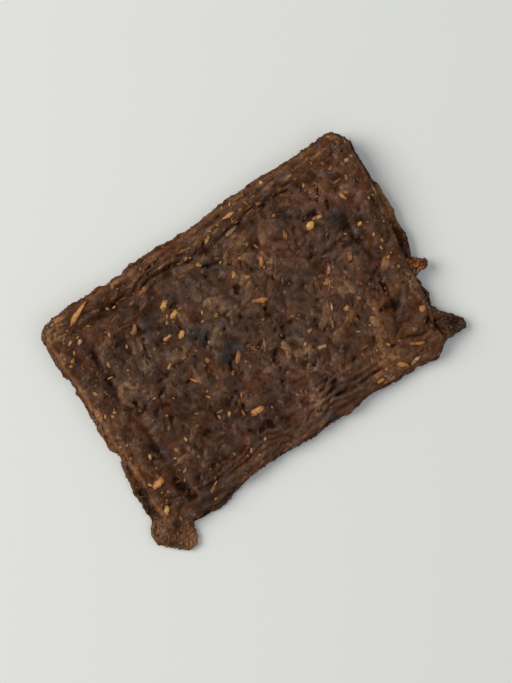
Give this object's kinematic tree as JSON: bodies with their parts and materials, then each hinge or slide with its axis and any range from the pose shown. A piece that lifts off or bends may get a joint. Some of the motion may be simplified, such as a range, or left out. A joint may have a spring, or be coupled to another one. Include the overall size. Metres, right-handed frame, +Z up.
{
  "type": "ostrich jerky chew",
  "caption": "Flat oblong slab of dried minced ostrich meat with a raised crinkled rim, a rolled front side and torn corners.",
  "frame": {"origin": "middle of the bounding box, at the level of the flat middle of the underside", "axes": "+X along the long side towards the curled right end, +Y along the short side towards the back, +Z up"},
  "size_m": [0.078, 0.0542, 0.0069],
  "materials": {
    "dried_meat": "matte to faintly oily dried meat, dark brown with redder ridges and paler flecks"
  },
  "bodies": {
    "root": {"jerky_chew": "dried_meat"}
  },
  "joints": []
}
